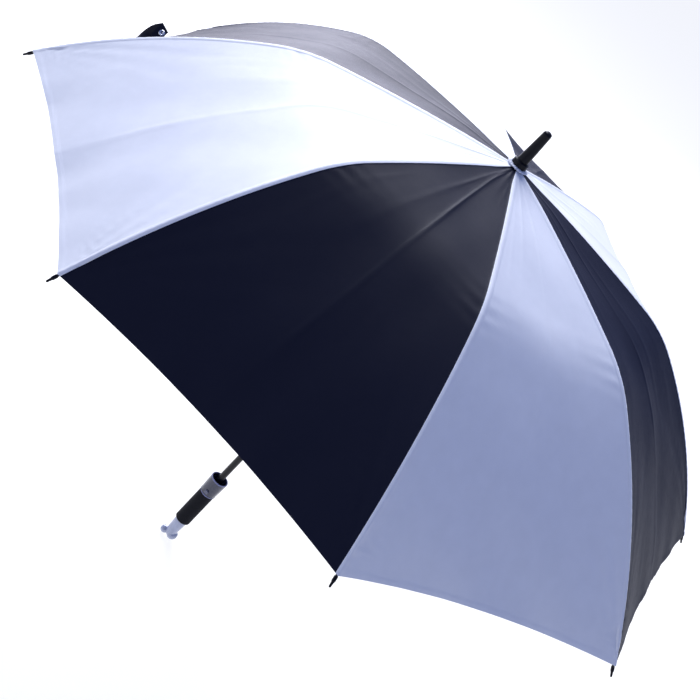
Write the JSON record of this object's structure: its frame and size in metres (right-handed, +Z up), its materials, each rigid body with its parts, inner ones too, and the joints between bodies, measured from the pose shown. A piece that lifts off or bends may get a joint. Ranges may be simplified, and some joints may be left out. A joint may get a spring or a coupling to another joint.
{
  "type": "golf umbrella",
  "caption": "Large open golf umbrella with a two-colour panelled canopy, hinged ribs and stretchers, a sliding runner, and a grip with a release button and a tip cup.",
  "frame": {"origin": "middle of the handle's lower end, on the shaft's axis", "axes": "+Z up the shaft from the handle to the ferrule; -Y faces out of the release button; rib 1 lies at an azimuth of -157.5 degrees and the ribs are numbered anticlockwise from above"},
  "size_m": [1.2524, 1.2524, 1.013],
  "materials": {
    "shaft_black": "satin black paint",
    "rib_black": "pultruded black fibreglass",
    "plastic_black": "moulded, satin",
    "spring_steel": "drawn wire",
    "canopy_white": "woven polyester with a light sheen",
    "canopy_navy": "woven polyester with a light sheen",
    "rosette_white": "gathered cloth",
    "strap_navy": "folded and stitched cloth",
    "snap_metal": "pressed metal",
    "cup_grey": "smoky grey, glossy",
    "button_grey": "smoky grey, glossy",
    "grip_foam": "closed cell foam, matt",
    "knob_white": "glossy moulding"
  },
  "bodies": {
    "shaft_and_handle": {"shaft": "shaft_black", "crown_notch": "plastic_black", "notch_wire": "spring_steel", "ferrule": "plastic_black", "ferrule_cap": "plastic_black", "rosette": "rosette_white", "stop_collar": "plastic_black", "main_spring": "spring_steel", "tip_cup": "cup_grey", "button_spring": "spring_steel", "handle_core": "plastic_black", "grip": "grip_foam", "end_knob": "knob_white"},
    "release_button": {"release_button": "button_grey"},
    "runner": {"runner": "plastic_black", "runner_wire": "spring_steel", "spring_plunger": "spring_steel"},
    "rib_inner_1": {"rib_inner_1": "rib_black", "canopy_panel_1": "canopy_white"},
    "rib_outer_1": {"rib_outer_1": "rib_black", "rib_tip_1": "plastic_black"},
    "stretcher_1": {"stretcher_1": "rib_black"},
    "rib_inner_2": {"rib_inner_2": "rib_black", "canopy_panel_2": "canopy_navy"},
    "rib_outer_2": {"rib_outer_2": "rib_black", "rib_tip_2": "plastic_black"},
    "stretcher_2": {"stretcher_2": "rib_black"},
    "rib_inner_3": {"rib_inner_3": "rib_black", "canopy_panel_3": "canopy_white"},
    "rib_outer_3": {"rib_outer_3": "rib_black", "rib_tip_3": "plastic_black"},
    "stretcher_3": {"stretcher_3": "rib_black"},
    "rib_inner_4": {"rib_inner_4": "rib_black", "canopy_panel_4": "canopy_navy"},
    "rib_outer_4": {"rib_outer_4": "rib_black", "rib_tip_4": "plastic_black"},
    "stretcher_4": {"stretcher_4": "rib_black"},
    "rib_inner_5": {"rib_inner_5": "rib_black", "canopy_panel_5": "canopy_white"},
    "rib_outer_5": {"rib_outer_5": "rib_black", "rib_tip_5": "plastic_black"},
    "stretcher_5": {"stretcher_5": "rib_black"},
    "rib_inner_6": {"rib_inner_6": "rib_black", "canopy_panel_6": "canopy_navy"},
    "rib_outer_6": {"rib_outer_6": "rib_black", "rib_tip_6": "plastic_black"},
    "stretcher_6": {"stretcher_6": "rib_black"},
    "rib_inner_7": {"rib_inner_7": "rib_black", "canopy_panel_7": "canopy_white"},
    "rib_outer_7": {"rib_outer_7": "rib_black", "rib_tip_7": "plastic_black"},
    "stretcher_7": {"stretcher_7": "rib_black"},
    "rib_inner_8": {"rib_inner_8": "rib_black", "canopy_panel_8": "canopy_navy"},
    "rib_outer_8": {"rib_outer_8": "rib_black", "rib_tip_8": "plastic_black", "tie_strap": "strap_navy", "snap_fastener": "snap_metal"},
    "stretcher_8": {"stretcher_8": "rib_black"}
  },
  "joints": [
    {"name": "rib_1_fold", "type": "hinge", "parent": "shaft_and_handle", "child": "rib_inner_1", "pos_m": [-0.01016, -0.00421, 0.929], "axis": [0.3827, -0.9239, 0], "range_deg": [0, 77.69], "stiffness_Nm_per_rad": 0.1, "springref_deg": -171.89, "deforming": ["canopy_panel_1", "main_spring"]},
    {"name": "rib_1_bend", "type": "hinge", "parent": "rib_inner_1", "child": "rib_outer_1", "pos_m": [-0.32605, -0.13505, 0.86679], "axis": [0.3827, -0.9239, 0], "range_deg": [-25.7, 0]},
    {"name": "stretcher_1_fold", "type": "hinge", "parent": "rib_inner_1", "child": "stretcher_1", "pos_m": [-0.32605, -0.13505, 0.86679], "axis": [0.3827, -0.9239, 0], "range_deg": [-155.42, 0]},
    {"name": "rib_2_fold", "type": "hinge", "parent": "shaft_and_handle", "child": "rib_inner_2", "pos_m": [-0.00421, -0.01016, 0.929], "axis": [0.9239, -0.3827, 0], "range_deg": [0, 77.74], "stiffness_Nm_per_rad": 0.1, "springref_deg": -171.89, "deforming": ["canopy_panel_2"]},
    {"name": "rib_2_bend", "type": "hinge", "parent": "rib_inner_2", "child": "rib_outer_2", "pos_m": [-0.13505, -0.32605, 0.86679], "axis": [0.9239, -0.3827, 0], "range_deg": [-25.7, 0]},
    {"name": "stretcher_2_fold", "type": "hinge", "parent": "rib_inner_2", "child": "stretcher_2", "pos_m": [-0.13505, -0.32605, 0.86679], "axis": [0.9239, -0.3827, 0], "range_deg": [-155.42, 0]},
    {"name": "rib_3_fold", "type": "hinge", "parent": "shaft_and_handle", "child": "rib_inner_3", "pos_m": [0.00421, -0.01016, 0.929], "axis": [0.9239, 0.3827, 0], "range_deg": [0, 77.74], "stiffness_Nm_per_rad": 0.1, "springref_deg": -171.89, "deforming": ["canopy_panel_3"]},
    {"name": "rib_3_bend", "type": "hinge", "parent": "rib_inner_3", "child": "rib_outer_3", "pos_m": [0.13505, -0.32605, 0.86679], "axis": [0.9239, 0.3827, 0], "range_deg": [-25.7, 0]},
    {"name": "stretcher_3_fold", "type": "hinge", "parent": "rib_inner_3", "child": "stretcher_3", "pos_m": [0.13505, -0.32605, 0.86679], "axis": [0.9239, 0.3827, 0], "range_deg": [-155.42, 0]},
    {"name": "rib_4_fold", "type": "hinge", "parent": "shaft_and_handle", "child": "rib_inner_4", "pos_m": [0.01016, -0.00421, 0.929], "axis": [0.3827, 0.9239, 0], "range_deg": [0, 77.74], "stiffness_Nm_per_rad": 0.1, "springref_deg": -171.89, "deforming": ["canopy_panel_4"]},
    {"name": "rib_4_bend", "type": "hinge", "parent": "rib_inner_4", "child": "rib_outer_4", "pos_m": [0.32605, -0.13505, 0.86679], "axis": [0.3827, 0.9239, 0], "range_deg": [-25.7, 0]},
    {"name": "stretcher_4_fold", "type": "hinge", "parent": "rib_inner_4", "child": "stretcher_4", "pos_m": [0.32605, -0.13505, 0.86679], "axis": [0.3827, 0.9239, 0], "range_deg": [-155.42, 0]},
    {"name": "rib_5_fold", "type": "hinge", "parent": "shaft_and_handle", "child": "rib_inner_5", "pos_m": [0.01016, 0.00421, 0.929], "axis": [-0.3827, 0.9239, 0], "range_deg": [0, 77.74], "stiffness_Nm_per_rad": 0.1, "springref_deg": -171.89, "deforming": ["canopy_panel_5"]},
    {"name": "rib_5_bend", "type": "hinge", "parent": "rib_inner_5", "child": "rib_outer_5", "pos_m": [0.32605, 0.13505, 0.86679], "axis": [-0.3827, 0.9239, 0], "range_deg": [-25.7, 0]},
    {"name": "stretcher_5_fold", "type": "hinge", "parent": "rib_inner_5", "child": "stretcher_5", "pos_m": [0.32605, 0.13505, 0.86679], "axis": [-0.3827, 0.9239, 0], "range_deg": [-155.42, 0]},
    {"name": "rib_6_fold", "type": "hinge", "parent": "shaft_and_handle", "child": "rib_inner_6", "pos_m": [0.00421, 0.01016, 0.929], "axis": [-0.9239, 0.3827, 0], "range_deg": [0, 77.74], "stiffness_Nm_per_rad": 0.1, "springref_deg": -171.89, "deforming": ["canopy_panel_6"]},
    {"name": "rib_6_bend", "type": "hinge", "parent": "rib_inner_6", "child": "rib_outer_6", "pos_m": [0.13505, 0.32605, 0.86679], "axis": [-0.9239, 0.3827, 0], "range_deg": [-25.7, 0]},
    {"name": "stretcher_6_fold", "type": "hinge", "parent": "rib_inner_6", "child": "stretcher_6", "pos_m": [0.13505, 0.32605, 0.86679], "axis": [-0.9239, 0.3827, 0], "range_deg": [-155.42, 0]},
    {"name": "rib_7_fold", "type": "hinge", "parent": "shaft_and_handle", "child": "rib_inner_7", "pos_m": [-0.00421, 0.01016, 0.929], "axis": [-0.9239, -0.3827, 0], "range_deg": [0, 77.74], "stiffness_Nm_per_rad": 0.1, "springref_deg": -171.89, "deforming": ["canopy_panel_7"]},
    {"name": "rib_7_bend", "type": "hinge", "parent": "rib_inner_7", "child": "rib_outer_7", "pos_m": [-0.13505, 0.32605, 0.86679], "axis": [-0.9239, -0.3827, 0], "range_deg": [-25.7, 0]},
    {"name": "stretcher_7_fold", "type": "hinge", "parent": "rib_inner_7", "child": "stretcher_7", "pos_m": [-0.13505, 0.32605, 0.86679], "axis": [-0.9239, -0.3827, 0], "range_deg": [-155.42, 0]},
    {"name": "rib_8_fold", "type": "hinge", "parent": "shaft_and_handle", "child": "rib_inner_8", "pos_m": [-0.01016, 0.00421, 0.929], "axis": [-0.3827, -0.9239, 0], "range_deg": [0, 77.74], "stiffness_Nm_per_rad": 0.1, "springref_deg": -171.89, "deforming": ["canopy_panel_8", "tie_strap", "snap_fastener"]},
    {"name": "rib_8_bend", "type": "hinge", "parent": "rib_inner_8", "child": "rib_outer_8", "pos_m": [-0.32605, 0.13505, 0.86679], "axis": [-0.3827, -0.9239, 0], "range_deg": [-25.7, 0]},
    {"name": "stretcher_8_fold", "type": "hinge", "parent": "rib_inner_8", "child": "stretcher_8", "pos_m": [-0.32605, 0.13505, 0.86679], "axis": [-0.3827, -0.9239, 0], "range_deg": [-155.42, 0]},
    {"name": "runner_level", "type": "hinge", "parent": "stretcher_1", "child": "runner", "pos_m": [-0.01016, -0.00421, 0.80458], "axis": [0.3827, -0.9239, 0], "range_deg": [0, 77.74]},
    {"name": "button_press", "type": "slide", "parent": "shaft_and_handle", "child": "release_button", "axis": [0, 1, 0], "range_m": [0, 0.0014], "stiffness_N_per_m": 900, "springref_m": -0.0015, "deforming": ["button_spring"]}
  ],
  "couplings": [
    {"joint": "rib_1_bend", "follows": "rib_1_fold", "ratio": -0.33018},
    {"joint": "stretcher_1_fold", "follows": "rib_1_fold", "ratio": -2},
    {"joint": "rib_2_fold", "follows": "rib_1_fold", "ratio": 1},
    {"joint": "rib_2_bend", "follows": "rib_1_fold", "ratio": -0.33018},
    {"joint": "stretcher_2_fold", "follows": "rib_1_fold", "ratio": -2},
    {"joint": "rib_3_fold", "follows": "rib_1_fold", "ratio": 1},
    {"joint": "rib_3_bend", "follows": "rib_1_fold", "ratio": -0.33018},
    {"joint": "stretcher_3_fold", "follows": "rib_1_fold", "ratio": -2},
    {"joint": "rib_4_fold", "follows": "rib_1_fold", "ratio": 1},
    {"joint": "rib_4_bend", "follows": "rib_1_fold", "ratio": -0.33018},
    {"joint": "stretcher_4_fold", "follows": "rib_1_fold", "ratio": -2},
    {"joint": "rib_5_fold", "follows": "rib_1_fold", "ratio": 1},
    {"joint": "rib_5_bend", "follows": "rib_1_fold", "ratio": -0.33018},
    {"joint": "stretcher_5_fold", "follows": "rib_1_fold", "ratio": -2},
    {"joint": "rib_6_fold", "follows": "rib_1_fold", "ratio": 1},
    {"joint": "rib_6_bend", "follows": "rib_1_fold", "ratio": -0.33018},
    {"joint": "stretcher_6_fold", "follows": "rib_1_fold", "ratio": -2},
    {"joint": "rib_7_fold", "follows": "rib_1_fold", "ratio": 1},
    {"joint": "rib_7_bend", "follows": "rib_1_fold", "ratio": -0.33018},
    {"joint": "stretcher_7_fold", "follows": "rib_1_fold", "ratio": -2},
    {"joint": "rib_8_fold", "follows": "rib_1_fold", "ratio": 1},
    {"joint": "rib_8_bend", "follows": "rib_1_fold", "ratio": -0.33018},
    {"joint": "stretcher_8_fold", "follows": "rib_1_fold", "ratio": -2},
    {"joint": "runner_level", "follows": "rib_1_fold", "ratio": 1}
  ]
}
